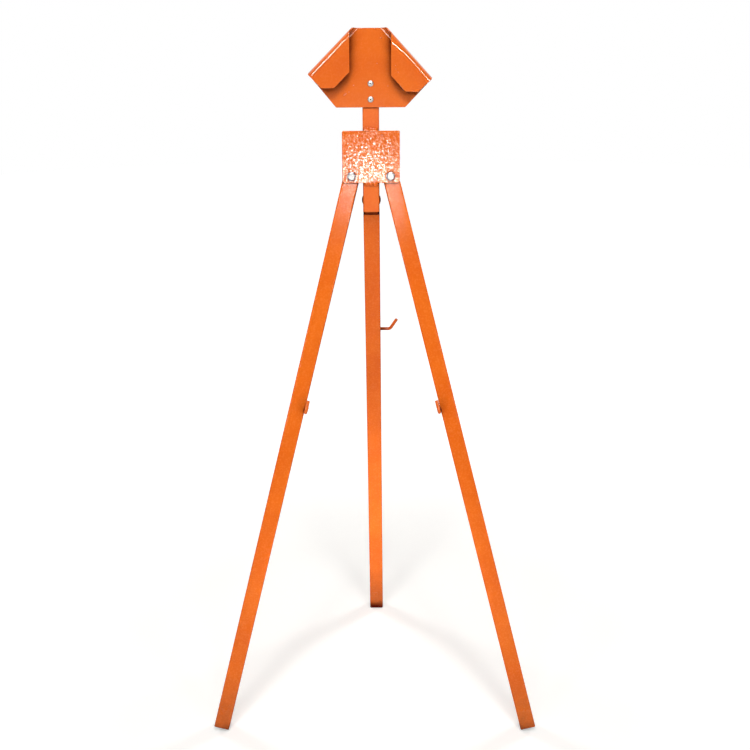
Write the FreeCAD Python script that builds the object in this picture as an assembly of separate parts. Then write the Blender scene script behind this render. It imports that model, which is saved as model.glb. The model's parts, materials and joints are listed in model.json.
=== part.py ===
import FreeCAD, Part

import math
import os

# Folding tripod frame that holds a diamond roadworks sign by its top corner and its two lower edges.
# Sizes are in millimetres. The frame is modelled upright and folded shut about the leg pivots:
# X runs across it, -Y is the side that faces the traffic, Z runs up the neck, and zero is midway
# between the two leg pivots. The last step opens the legs and leans the frame back on its feet.

# Square tube of the neck and the three legs
TUBE = 38.1
TUBE_WALL = 2.1
TUBE_CORNER = 3.6

# Legs, each measured from its pivot to its foot; folded, the rear leg ends a little past the front ones
FRONT_LEG_LENGTH = 1422.0
REAR_FOOT_PAST = 4.0
SPLAY_DEG = 14.0
REAR_OPEN_DEG = 25.6
FOLDED_SIDE_GAP = 6.9
REAR_PIVOT_DROP = 54.0

# Neck, which ends behind the head
NECK_BEHIND_HEAD = 81.0
NECK_BELOW_PIN = 27.5
RELIEF_ABOVE_PIN = 8.0

# Hub plates, one in front of the neck and one behind it
PLATE_PAST_PIVOT = 21.5
PLATE_TOP = 103.0
PLATE_BOTTOM = 15.4
PLATE_THICK = 3.2
PLATE_TOP_RADIUS = 3.0
PLATE_LOW_RADIUS = 7.0
LEG_SIDE_GAP = 0.3
HUB_WELD_END = 0.95
HUB_WELD_LEG = 5.0
WELD_CROWN = 0.7

# Sign head, folded from one sheet: its folded edges slope down from an apex above the neck.
# The fold on the right is a little steeper and ends a little lower than the one on the left.
LEFT, RIGHT = -1, 1
HEAD_THICK = 3.0
HEAD_APEX = 371.5
HEAD_TOP_CUT = 41.5
HEAD_BOTTOM_DROP = 216.5
HEAD_BOTTOM_HALF = 79.0
HEAD_LOW_RADIUS = 4.0
FOLD_SLOPE_DEG = {LEFT: 45.0, RIGHT: 47.5}
FOLD_LENGTH = {LEFT: 202.0, RIGHT: 208.5}
BACK_BEND = 14.0
FRONT_BEND = 11.0
# On the right the front bend widens evenly from FLARE_FROM up to the gap between the flanges
FLARE = {LEFT: 0.0, RIGHT: 12.7}
FLARE_FROM = 128.0
HEAD_TOP_RADIUS = 9.0
FLANGE_WIDTH = 65.5
FLANGE_CORNER_CUT = 20.5
FLANGE_GAP = 94.0
FLANGE_RADIUS = 3.0
BEND_OPEN_DEPTH = 12.5

# Blind rivets that hold the head to the neck
RIVETS_ABOVE_HEAD_BOTTOM = (17.8, 52.8)
RIVET_SHANK = 6.4
RIVET_HEAD = 13.0
RIVET_HEAD_HIGH = 2.6
RIVET_TAIL = 9.6
RIVET_TAIL_LONG = 7.5
RIVET_TAIL_SWELL = 1.5
RIVET_TAIL_FULL = 3.8
MANDREL = 3.8
MANDREL_HEAD = 6.0
MANDREL_HEAD_FULL = 2.0
MANDREL_HEAD_LONG = 3.5
MANDREL_SUNK = 1.1
RIVET_CLEARANCE = 0.1

# Leg pivot bolts with their sleeves, washers and lock nuts
BOLT = 10.0
HEX_FLATS = 17.0
HEX_HIGH = 6.4
HEX_CORNER_DOWN = 0.8
HEX_FACE_INSET = 0.4
HEX_TURNS_DEG = (8.0, 21.0)
THREAD_PAST_NUT = 3.0
BOLT_CHAMFER = 1.0
BOLT_CLEARANCE = 0.25
SLEEVE_WALL = 1.75
WASHER_OUTER = 21.0
WASHER_THICK = 2.0
NUT_HEX_HIGH = 7.4
NUT_COLLAR_HIGH = 3.0
NUT_COLLAR_WALL = 1.1
INSERT_WALL = 1.4
INSERT_HIGH = 2.0
THREAD_CLEARANCE = 0.05
RUNNING_CLEARANCE = 0.1

# Hinge of the rear leg: a smaller tube in the leg's top turns on a headed pin inside the neck
PIN = 10.0
PIN_HEAD = 19.0
PIN_HEAD_HIGH = 3.2
DOME_RIM_SHARE = 0.25
TONGUE_PLAY = 1.075
TONGUE_WALL = 2.1
TONGUE_CORNER = 3.0
TONGUE_IN_LEG = 60.0
SHOULDER_GAP = 2.0
STOP_CLEARANCE = 0.2
TONGUE_WELD_DEEP = 3.0

# Sign hooks on the front legs and the ballast hook on the rear leg
ROD = 8.0
SIGN_HOOK_AT = 566.0
SIGN_HOOK_RISE = 31.0
SIGN_HOOK_ROOT = 33.0
SIGN_HOOK_BEND = 9.0
BALLAST_HOOK_AT = 379.0
BALLAST_HOOK_ROOT = 31.0
BALLAST_HOOK_REACH = 24.0
BALLAST_HOOK_TIP = 33.0
BALLAST_HOOK_LIFT_DEG = 60.0
BALLAST_HOOK_BEND = 9.0
HOOK_WELD_LEG = 6.5
HOOK_WELD_SHORT = 27.0
FOLDED_GAP = 0.6

# Worked out from the sizes above
HALF = TUBE / 2
BORE_HALF = HALF - TUBE_WALL
TONGUE = 2 * (BORE_HALF - TONGUE_PLAY)
PIVOT_X = 2 * HALF + FOLDED_SIDE_GAP
REAR_LEG_LENGTH = FRONT_LEG_LENGTH - REAR_PIVOT_DROP + REAR_FOOT_PAST
SHOULDER_BELOW_PIN = NECK_BELOW_PIN + SHOULDER_GAP
SPLAY = math.radians(SPLAY_DEG)
REAR_OPEN = math.radians(REAR_OPEN_DEG)
NECK_BOTTOM = -(REAR_PIVOT_DROP + NECK_BELOW_PIN)
HUB_WELD_WIDTH = TUBE - 2 * (TUBE_CORNER + HUB_WELD_END)
PLATE_INNER = HALF + LEG_SIDE_GAP
PLATE_OUTER = PLATE_INNER + PLATE_THICK
DIAGONAL = math.sqrt(0.5)
HEAD_DEPTH = BACK_BEND + FRONT_BEND
SIGN_SLOT = HEAD_DEPTH - 2 * HEAD_THICK
HEAD_TOP = HEAD_APEX - HEAD_TOP_CUT
HEAD_BOTTOM = HEAD_APEX - HEAD_BOTTOM_DROP
NECK_TOP = HEAD_BOTTOM + NECK_BEHIND_HEAD
RIVET_HEIGHTS = [HEAD_BOTTOM + rise for rise in RIVETS_ABOVE_HEAD_BOTTOM]
SLEEVE_BORE = BOLT / 2 + BOLT_CLEARANCE
SLEEVE_RADIUS = SLEEVE_BORE + SLEEVE_WALL
INSERT_RADIUS = BOLT / 2 + INSERT_WALL
LEAN_PRECISION = 1e-12
# The inner corner of each leg's top end lands on the side of the neck and stops the splay
LEG_ABOVE_PIVOT = (PIVOT_X - HALF - STOP_CLEARANCE - HALF * math.cos(SPLAY)) / math.sin(SPLAY)

V = FreeCAD.Vector
X_AXIS = V(1, 0, 0)
Y_AXIS = V(0, 1, 0)
Z_AXIS = V(0, 0, 1)
ZERO = V(0, 0, 0)


def rounded_wire(points, radii):
    """Closed wire through the points, each corner rounded by its own radius."""
    edges = []
    starts = []
    ends = []
    count = len(points)
    for i in range(count):
        corner = points[i]
        to_last = (points[i - 1] - corner).normalize()
        to_next = (points[(i + 1) % count] - corner).normalize()
        if radii[i] == 0:
            starts.append(corner)
            ends.append(corner)
            continue
        half_angle = to_last.getAngle(to_next) / 2
        reach = radii[i] / math.tan(half_angle)
        start = corner + to_last * reach
        end = corner + to_next * reach
        inward = (to_last + to_next).normalize()
        middle = corner + inward * (radii[i] / math.sin(half_angle) - radii[i])
        edges.append((i, Part.Arc(start, middle, end).toShape()))
        starts.append(start)
        ends.append(end)
    for i in range(count):
        edges.append((i + 0.5, Part.makeLine(ends[i], starts[(i + 1) % count])))
    edges.sort(key=lambda item: item[0])
    return Part.Wire([edge for place, edge in edges])


def square_bar(width, corner, low, high, x=0.0):
    """Upright square bar with rounded corners, from one height to another."""
    half = width / 2
    corners = [(-half, -half), (half, -half), (half, half), (-half, half)]
    face = Part.Face(rounded_wire([V(x + across, y, low) for across, y in corners], [corner] * 4))
    return face.extrude(V(0, 0, high - low))


def square_tube(width, wall, corner, low, high, x=0.0):
    outer = square_bar(width, corner, low, high, x)
    return outer.cut(square_bar(width - 2 * wall, corner - wall, low, high, x))


def plate(points, radii, front, thick):
    """Flat plate whose outline lies across the frame and whose front face is at y = -front."""
    outline = [V(x, -front, z) for x, z in points]
    return Part.Face(rounded_wire(outline, radii)).extrude(V(0, thick, 0))


def cylinder(radius, start, axis, length):
    return Part.makeCylinder(radius, length, start, axis)


def turned(points, start, axis, across):
    """Solid of revolution about an axis: points are (radius, distance along the axis)."""
    outline = [start + across * radius + axis * along for radius, along in points]
    face = Part.Face(Part.makePolygon(outline + outline[:1]))
    return face.revolve(start, axis, 360)


def dome(radius, high, start, axis, across):
    """Low round head whose flat side is at the start point."""
    rim = DOME_RIM_SHARE * high
    sphere = (radius ** 2 + (high - rim) ** 2) / (2 * (high - rim))
    turn = math.asin(radius / sphere) / 2
    centre = start + axis * (high - sphere)
    top = start + axis * high
    middle = centre + axis * (sphere * math.cos(turn)) + across * (sphere * math.sin(turn))
    edge = start + axis * rim + across * radius
    foot = start + across * radius
    edges = [
        Part.makeLine(start, foot),
        Part.makeLine(foot, edge),
        Part.Arc(edge, middle, top).toShape(),
        Part.makeLine(top, start),
    ]
    return Part.Face(Part.Wire(edges)).revolve(start, axis, 360)


def bent_rod(points, bend):
    """Round rod along straight runs joined by arcs of one bend radius."""
    edges = []
    last = points[0]
    for i in range(1, len(points) - 1):
        corner = points[i]
        back = (points[i - 1] - corner).normalize()
        ahead = (points[i + 1] - corner).normalize()
        half_angle = back.getAngle(ahead) / 2
        reach = bend / math.tan(half_angle)
        middle = corner + (back + ahead).normalize() * (bend / math.sin(half_angle) - bend)
        edges.append(Part.makeLine(last, corner + back * reach))
        edges.append(Part.Arc(corner + back * reach, middle, corner + ahead * reach).toShape())
        last = corner + ahead * reach
    edges.append(Part.makeLine(last, points[-1]))
    path = Part.Wire(edges)
    ring = Part.Wire(Part.makeCircle(ROD / 2, points[0], points[1] - points[0]))
    return path.makePipeShell([ring], True, False)


def hexagon(flats, high, start, turn_deg):
    """Hexagonal prism along -Y with its outer corners turned down, as on a bolt head."""
    corner = flats / math.sqrt(3)
    points = []
    for i in range(7):
        angle = math.radians(turn_deg + 60 * i)
        points.append(start + V(corner * math.cos(angle), 0, corner * math.sin(angle)))
    prism = Part.Face(Part.makePolygon(points)).extrude(V(0, -high, 0))
    face = flats / 2 - HEX_FACE_INSET
    cone = [(0, 0), (corner, 0), (corner, high - HEX_CORNER_DOWN), (face, high), (0, high)]
    return prism.common(turned(cone, start, V(0, -1, 0), X_AXIS))


def neck_tube():
    tube = square_tube(TUBE, TUBE_WALL, TUBE_CORNER, NECK_BOTTOM, NECK_TOP)
    pin_z = -REAR_PIVOT_DROP
    # The rear wall is cut away so that the tongue can swing back through it
    relief_high = pin_z + RELIEF_ABOVE_PIN - NECK_BOTTOM
    relief = Part.makeBox(2 * BORE_HALF, HALF, relief_high + 1, V(-BORE_HALF, HALF / 2, NECK_BOTTOM - 1))
    tube = tube.cut(relief)
    # The lower back corner is cut to the slope of the open leg's shoulder, which lands on it
    slope = STOP_CLEARANCE - SHOULDER_BELOW_PIN
    block = Part.makeBox(2 * TUBE, 4 * TUBE, TUBE, V(-TUBE, -2 * TUBE, slope - TUBE))
    block.rotate(ZERO, X_AXIS, REAR_OPEN_DEG)
    block.translate(V(0, 0, pin_z))
    tube = tube.cut(block)
    tube = tube.cut(cylinder(PIN / 2 + THREAD_CLEARANCE, V(-TUBE, 0, pin_z), X_AXIS, 2 * TUBE))
    for height in RIVET_HEIGHTS:
        tube = tube.cut(cylinder(RIVET_SHANK / 2 + RIVET_CLEARANCE, V(0, -TUBE, height), Y_AXIS, TUBE))
    return [tube]


def hub_plate(side):
    """One hub plate: side is -1 in front of the neck and 1 behind it."""
    half = PIVOT_X + PLATE_PAST_PIVOT
    points = [(-half, PLATE_TOP), (half, PLATE_TOP), (half, -PLATE_BOTTOM), (-half, -PLATE_BOTTOM)]
    radii = [PLATE_TOP_RADIUS, PLATE_TOP_RADIUS, PLATE_LOW_RADIUS, PLATE_LOW_RADIUS]
    front = PLATE_OUTER if side < 0 else -PLATE_INNER
    sheet = plate(points, radii, front, PLATE_THICK)
    for x in (-PIVOT_X, PIVOT_X):
        sheet = sheet.cut(cylinder(BOLT / 2 + BOLT_CLEARANCE, V(x, -TUBE, 0), Y_AXIS, 2 * TUBE))
    return [sheet]


def hub_welds(side):
    """Fillet welds between the neck and the upper and lower edges of one hub plate."""
    beads = []
    for edge, up in ((PLATE_TOP, 1), (-PLATE_BOTTOM, -1)):
        root = V(-HUB_WELD_WIDTH / 2, side * HALF, edge)
        out = root + V(0, side * (PLATE_OUTER - HALF), 0)
        along = root + V(0, 0, up * HUB_WELD_LEG)
        middle = (out + along) * 0.5 + V(0, side, up) * (WELD_CROWN * DIAGONAL)
        crown = Part.Arc(out, middle, along).toShape()
        section = Part.Wire([Part.makeLine(root, out), crown, Part.makeLine(along, root)])
        beads.append(Part.Face(section).extrude(V(HUB_WELD_WIDTH, 0, 0)))
    return beads


def fold_point(side, along, inward):
    """Place on the head: down from the apex along one folded edge, then square in from that edge."""
    slope = math.radians(FOLD_SLOPE_DEG[side])
    x = along * math.cos(slope) - inward * math.sin(slope)
    return side * x, HEAD_APEX - along * math.sin(slope) - inward * math.cos(slope)


def front_bend(side, along):
    """Width of the front bend at one place along the fold."""
    gap_along = FLANGE_GAP / 2 / math.cos(math.radians(FOLD_SLOPE_DEG[side]))
    return FRONT_BEND + FLARE[side] * max(0.0, FLARE_FROM - along) / (FLARE_FROM - gap_along)


def bend_section(side, along):
    """Cross section of a fold at one place along it: a round back bend, then the front bend."""
    front = front_bend(side, along)

    def at(inward, depth):
        x, z = fold_point(side, along, inward)
        return V(x, -HALF - depth, z)

    def quarter(start, corner, end):
        curve = Part.BezierCurve()
        curve.setPoles([start, corner, end])
        curve.setWeight(2, DIAGONAL)
        return curve.toShape()

    back_out, back_in = at(BACK_BEND, 0), at(BACK_BEND, HEAD_THICK)
    edge_out, edge_in = at(0, BACK_BEND), at(HEAD_THICK, BACK_BEND)
    front_out, front_in = at(front, HEAD_DEPTH), at(front, HEAD_DEPTH - HEAD_THICK)
    return Part.Wire([
        quarter(back_out, at(0, 0), edge_out),
        quarter(edge_out, at(0, HEAD_DEPTH), front_out),
        Part.makeLine(front_out, front_in),
        quarter(front_in, at(HEAD_THICK, HEAD_DEPTH - HEAD_THICK), edge_in),
        quarter(edge_in, at(HEAD_THICK, HEAD_THICK), back_in),
        Part.makeLine(back_in, back_out),
    ])


def channel_bend(side):
    """Rounded fold that joins the head's back to one front flange, along its sloping edge."""
    places = [FOLD_LENGTH[side], FLARE_FROM, 0] if FLARE[side] else [FOLD_LENGTH[side], 0]
    bend = Part.makeLoft([bend_section(side, along) for along in places], True, True)
    above = Part.makeBox(4 * HEAD_TOP, 4 * TUBE, HEAD_TOP, V(-2 * HEAD_TOP, -3 * TUBE, HEAD_TOP))
    bend = bend.cut(above)
    # Between the two flanges the fold stays open to the front
    mouth_back = -HALF - BEND_OPEN_DEPTH
    mouth = Part.makeBox(FLANGE_GAP, TUBE, 2 * HEAD_TOP, V(-FLANGE_GAP / 2, mouth_back - TUBE, 0))
    return bend.cut(mouth)


def flange(side):
    """Front flange of one sign channel: an upright inner edge, and the lowest corner cut off."""
    slope = math.radians(FOLD_SLOPE_DEG[side])
    end = FOLD_LENGTH[side]

    def beside_gap(inward):
        along = (FLANGE_GAP / 2 + inward * math.sin(slope)) / math.cos(slope)
        return fold_point(side, along, inward)

    # Width of the bend where its edge meets the gap, from its even growth towards the apex
    growth = (front_bend(side, 0) - FRONT_BEND) / FLARE_FROM
    bend_at_gap = front_bend(side, FLANGE_GAP / 2 / math.cos(slope)) / (1 + growth * math.tan(slope))
    points = [
        beside_gap(bend_at_gap),
        beside_gap(FLANGE_WIDTH),
        fold_point(side, end - FLANGE_CORNER_CUT, FLANGE_WIDTH),
        fold_point(side, end, FLANGE_WIDTH - FLANGE_CORNER_CUT),
        fold_point(side, end, FRONT_BEND),
        fold_point(side, FLARE_FROM, FRONT_BEND),
    ]
    radii = [0, FLANGE_RADIUS, FLANGE_RADIUS, FLANGE_RADIUS, 0, 0]
    return plate(points, radii, HALF + HEAD_DEPTH, HEAD_THICK)


def top_corner(side):
    """What is cut off one top corner of the head to round it, seen from the front."""
    along = HEAD_TOP_CUT / math.sin(math.radians(FOLD_SLOPE_DEG[side]))
    half_turn = math.radians(180 - FOLD_SLOPE_DEG[side]) / 2
    reach = HEAD_TOP_RADIUS / math.tan(half_turn)
    corner_x, corner_z = fold_point(side, along, 0)
    on_fold = fold_point(side, along + reach, 0)
    beyond = fold_point(side, along + reach, -HEAD_TOP_RADIUS)
    outline = [
        (corner_x - side * reach, HEAD_TOP),
        on_fold,
        beyond,
        (corner_x + side * HEAD_TOP_RADIUS, HEAD_TOP + HEAD_TOP_RADIUS),
        (corner_x - side * reach, HEAD_TOP + HEAD_TOP_RADIUS),
    ]
    front = HALF + 2 * HEAD_DEPTH
    block = plate(outline, [0] * len(outline), front, 2 * HEAD_DEPTH)
    centre = V(corner_x - side * reach, -front, HEAD_TOP - HEAD_TOP_RADIUS)
    return block.cut(cylinder(HEAD_TOP_RADIUS, centre, Y_AXIS, 2 * HEAD_DEPTH))


def head_back():
    """Back of the head, which lies on the neck's front face."""
    halves = {}
    for side in (LEFT, RIGHT):
        slope = math.radians(FOLD_SLOPE_DEG[side])
        top = (HEAD_TOP_CUT - BACK_BEND * math.cos(slope)) / math.sin(slope)
        halves[side] = [
            fold_point(side, top, BACK_BEND),
            fold_point(side, FOLD_LENGTH[side], BACK_BEND),
            (side * HEAD_BOTTOM_HALF, HEAD_BOTTOM),
        ]
    radii = [0, 0, HEAD_LOW_RADIUS, HEAD_LOW_RADIUS, 0, 0]
    return plate(halves[RIGHT] + halves[LEFT][::-1], radii, HALF + HEAD_THICK, HEAD_THICK)


def sign_head():
    body = head_back()
    for side in (LEFT, RIGHT):
        body = body.fuse([channel_bend(side), flange(side)])
        body = body.cut(top_corner(side))
    for height in RIVET_HEIGHTS:
        body = body.cut(cylinder(RIVET_SHANK / 2 + RIVET_CLEARANCE, V(0, -TUBE, height), Y_AXIS, TUBE))
    return [body.removeSplitter()]


def head_rivets():
    """Blind rivets: a low head in front, a shank, and a bulged tail inside the neck."""
    rivets = []
    shank = RIVET_SHANK / 2
    grip = HEAD_THICK + TUBE_WALL
    for height in RIVET_HEIGHTS:
        seat = V(0, -HALF - HEAD_THICK, height)
        head = dome(RIVET_HEAD / 2, RIVET_HEAD_HIGH, seat, V(0, -1, 0), X_AXIS)
        tail = [
            (0, 0), (shank, 0), (shank, grip), (RIVET_TAIL / 2, grip + RIVET_TAIL_SWELL),
            (RIVET_TAIL / 2, grip + RIVET_TAIL_FULL), (shank, grip + RIVET_TAIL_LONG),
            (0, grip + RIVET_TAIL_LONG),
        ]
        rivet = head.fuse(turned(tail, seat, Y_AXIS, X_AXIS))
        bore = cylinder(MANDREL / 2 + THREAD_CLEARANCE, V(0, -TUBE, height), Y_AXIS, 2 * TUBE)
        rivets.append(rivet.cut(bore))
    return rivets


def rivet_mandrels():
    """Broken-off pulling stems that stay inside the rivets."""
    stems = []
    front = HALF + HEAD_THICK + RIVET_HEAD_HIGH - MANDREL_SUNK
    tail = HEAD_THICK + TUBE_WALL + RIVET_TAIL_LONG + RIVET_HEAD_HIGH - MANDREL_SUNK
    for height in RIVET_HEIGHTS:
        points = [
            (0, 0), (MANDREL / 2, 0), (MANDREL / 2, tail), (MANDREL_HEAD / 2, tail + THREAD_CLEARANCE),
            (MANDREL_HEAD / 2, tail + MANDREL_HEAD_FULL), (MANDREL / 4, tail + MANDREL_HEAD_LONG),
            (0, tail + MANDREL_HEAD_LONG),
        ]
        stems.append(turned(points, V(0, -front, height), Y_AXIS, X_AXIS))
    return stems


def leg_pivot_bolts():
    bolts = []
    length = 2 * PLATE_OUTER + WASHER_THICK + NUT_HEX_HIGH + NUT_COLLAR_HIGH + THREAD_PAST_NUT
    half = BOLT / 2
    for x, turn in zip((-PIVOT_X, PIVOT_X), HEX_TURNS_DEG):
        seat = V(x, -PLATE_OUTER, 0)
        head = hexagon(HEX_FLATS, HEX_HIGH, seat, turn)
        end = length - BOLT_CHAMFER
        shank = [(0, 0), (half, 0), (half, end), (half - BOLT_CHAMFER, length), (0, length)]
        bolts.append(head.fuse(turned(shank, seat, Y_AXIS, X_AXIS)).removeSplitter())
    return bolts


def ring(outer, inner, x, back, high):
    """Flat ring on a leg bolt, from y = back towards the rear."""
    start = V(x, back, 0)
    return cylinder(outer, start, Y_AXIS, high).cut(cylinder(inner, start, Y_AXIS, high))


def leg_pivot_sleeves():
    return [ring(SLEEVE_RADIUS, SLEEVE_BORE, x, -PLATE_INNER, 2 * PLATE_INNER) for x in (-PIVOT_X, PIVOT_X)]


def leg_bolt_washers():
    inner = BOLT / 2 + BOLT_CLEARANCE
    return [ring(WASHER_OUTER / 2, inner, x, PLATE_OUTER, WASHER_THICK) for x in (-PIVOT_X, PIVOT_X)]


def leg_lock_nuts():
    nuts = []
    back = PLATE_OUTER + WASHER_THICK
    bore = BOLT / 2 + THREAD_CLEARANCE
    for x, turn in zip((-PIVOT_X, PIVOT_X), HEX_TURNS_DEG):
        body = hexagon(HEX_FLATS, NUT_HEX_HIGH, V(x, 0, 0), turn)
        body.rotate(V(x, 0, 0), Z_AXIS, 180)
        body.translate(V(0, back, 0))
        top = V(x, back + NUT_HEX_HIGH, 0)
        collar = cylinder(INSERT_RADIUS + NUT_COLLAR_WALL, top, Y_AXIS, NUT_COLLAR_HIGH)
        nut = body.fuse(collar).cut(cylinder(bore, V(x, 0, 0), Y_AXIS, 3 * TUBE))
        groove = top + V(0, NUT_COLLAR_HIGH - INSERT_HIGH, 0)
        nuts.append(nut.cut(cylinder(INSERT_RADIUS, groove, Y_AXIS, INSERT_HIGH)).removeSplitter())
    return nuts


def lock_nut_inserts():
    seat_y = PLATE_OUTER + WASHER_THICK + NUT_HEX_HIGH + NUT_COLLAR_HIGH - INSERT_HIGH
    outer = INSERT_RADIUS - THREAD_CLEARANCE
    inner = BOLT / 2 + THREAD_CLEARANCE
    return [ring(outer, inner, x, seat_y, INSERT_HIGH) for x in (-PIVOT_X, PIVOT_X)]


def rear_hinge_pin():
    """Headed pin, closed over on both sides of the neck."""
    pin_z = -REAR_PIVOT_DROP
    pin = cylinder(PIN / 2, V(-HALF, 0, pin_z), X_AXIS, TUBE)
    for side in (LEFT, RIGHT):
        head = dome(PIN_HEAD / 2, PIN_HEAD_HIGH, V(side * HALF, 0, pin_z), V(side, 0, 0), Y_AXIS)
        pin = pin.fuse(head)
    return [pin.removeSplitter()]


def front_leg_tube(side):
    x = side * PIVOT_X
    tube = square_tube(TUBE, TUBE_WALL, TUBE_CORNER, -FRONT_LEG_LENGTH, LEG_ABOVE_PIVOT, x)
    return [tube.cut(cylinder(SLEEVE_RADIUS + RUNNING_CLEARANCE, V(x, -TUBE, 0), Y_AXIS, 2 * TUBE))]


def sign_hook_path(side):
    """Centre line of a sign hook: forward along the leg's inner face, then up in front of it."""
    x = side * (PIVOT_X - HALF - ROD / 2)
    root = V(x, -HALF + SIGN_HOOK_ROOT, -SIGN_HOOK_AT)
    front = V(x, -HALF - HEAD_THICK - SIGN_SLOT - ROD / 2, -SIGN_HOOK_AT)
    return [root, front, front + V(0, 0, SIGN_HOOK_RISE)]


def sign_hook(side):
    return [bent_rod(sign_hook_path(side), SIGN_HOOK_BEND)]


def rod_welds(contact, off, along, length):
    """Two fillet welds where a rod lies on a face: off leads from the face to the rod's centre."""
    beads = []
    rod = cylinder(ROD / 2, contact + off * (ROD / 2) - along * ROD, along, length + 2 * ROD)
    for side in (-1, 1):
        across = off.cross(along) * side
        toe = contact + across * HOOK_WELD_LEG
        on_rod = contact + (across + off) * (ROD / 2)
        middle = (toe + on_rod) * 0.5 + (across + off) * (WELD_CROWN * DIAGONAL)
        inside = contact + off * (ROD / 2)
        edges = [
            Part.makeLine(contact, toe),
            Part.Arc(toe, middle, on_rod).toShape(),
            Part.makeLine(on_rod, inside),
            Part.makeLine(inside, contact),
        ]
        beads.append(Part.Face(Part.Wire(edges)).extrude(along * length).cut(rod))
    return beads


def sign_hook_welds(side):
    contact = V(side * (PIVOT_X - HALF), -HALF + SIGN_HOOK_ROOT, -SIGN_HOOK_AT)
    return rod_welds(contact, V(-side, 0, 0), V(0, -1, 0), HOOK_WELD_SHORT)


def rear_leg_tube():
    top = -REAR_PIVOT_DROP - SHOULDER_BELOW_PIN
    return [square_tube(TUBE, TUBE_WALL, TUBE_CORNER, -REAR_PIVOT_DROP - REAR_LEG_LENGTH, top)]


def rear_leg_tongue():
    pin_z = -REAR_PIVOT_DROP
    half = TONGUE / 2
    low = pin_z - SHOULDER_BELOW_PIN - TONGUE_IN_LEG
    tongue = square_tube(TONGUE, TONGUE_WALL, TONGUE_CORNER, low, pin_z + half)
    # Above the pin the tongue is rounded about it, so that it turns inside the neck
    keep = cylinder(half, V(-TUBE, 0, pin_z), X_AXIS, 2 * TUBE)
    keep = keep.fuse(Part.makeBox(2 * TUBE, TONGUE, pin_z - low, V(-TUBE, -half, low)))
    tongue = tongue.common(keep)
    bore = PIN / 2 + RUNNING_CLEARANCE
    return [tongue.cut(cylinder(bore, V(-TUBE, 0, pin_z), X_AXIS, 2 * TUBE))]


def tongue_weld():
    """Weld that fills the joint between the tongue and the leg's top, ground flush with it."""
    top = -REAR_PIVOT_DROP - SHOULDER_BELOW_PIN
    outer = square_bar(2 * BORE_HALF, TUBE_CORNER - TUBE_WALL, top - TONGUE_WELD_DEEP, top)
    return [outer.cut(square_bar(TONGUE, TONGUE_CORNER, top - TONGUE_WELD_DEEP, top))]


def ballast_hook_path():
    """Centre line of the ballast hook: across the leg's back, out to the right, then up."""
    y = HALF + ROD / 2
    z = -REAR_PIVOT_DROP - BALLAST_HOOK_AT
    root = V(HALF - BALLAST_HOOK_ROOT, y, z)
    elbow = V(HALF + BALLAST_HOOK_REACH, y, z)
    lift = math.radians(BALLAST_HOOK_LIFT_DEG)
    tip = elbow + V(math.cos(lift), 0, math.sin(lift)) * BALLAST_HOOK_TIP
    return [root, elbow, tip]


def ballast_hook():
    return [bent_rod(ballast_hook_path(), BALLAST_HOOK_BEND)]


def ballast_hook_welds():
    contact = V(HALF - BALLAST_HOOK_ROOT, HALF, -REAR_PIVOT_DROP - BALLAST_HOOK_AT)
    return rod_welds(contact, Y_AXIS, X_AXIS, HOOK_WELD_SHORT)


def front_drop(lean):
    """Distance from the leg pivots down to the lowest point of a front foot, its rounded corner."""
    across = math.sin(SPLAY) * math.cos(lean)
    depth = math.sin(lean)
    corner = (HALF - TUBE_CORNER) * (across + depth) + TUBE_CORNER * math.hypot(across, depth)
    return FRONT_LEG_LENGTH * math.cos(SPLAY) * math.cos(lean) + corner


def rear_drop(lean):
    """Distance from the leg pivots down to the lowest edge of the rear foot."""
    rear_angle = REAR_OPEN - lean
    hinge = REAR_PIVOT_DROP * math.cos(lean)
    return hinge + REAR_LEG_LENGTH * math.cos(rear_angle) + HALF * math.sin(rear_angle)


def lean_angle():
    """Lean at which both front feet and the rear foot stand on one level, found by halving."""
    low, high = -REAR_OPEN, REAR_OPEN
    while high - low > LEAN_PRECISION:
        lean = (low + high) / 2
        if front_drop(lean) > rear_drop(lean):
            low = lean
        else:
            high = lean
    return (low + high) / 2


def fold_angles():
    """Travel of a front leg and of the rear leg, from standing to folded, in degrees."""
    hook_room = PIVOT_X - 2 * HALF - ROD - FOLDED_GAP
    front = SPLAY_DEG + math.degrees(math.asin(hook_room / SIGN_HOOK_AT))
    rear = REAR_OPEN_DEG - math.degrees(math.asin(FOLDED_GAP / BALLAST_HOOK_AT))
    return min(front, SPLAY_DEG), rear


def open_front_leg(shape, side):
    moved = shape.copy()
    moved.rotate(V(side * PIVOT_X, 0, 0), Y_AXIS, -side * SPLAY_DEG)
    return moved


def open_rear_leg(shape):
    moved = shape.copy()
    moved.rotate(V(0, 0, -REAR_PIVOT_DROP), X_AXIS, REAR_OPEN_DEG)
    return moved


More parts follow.
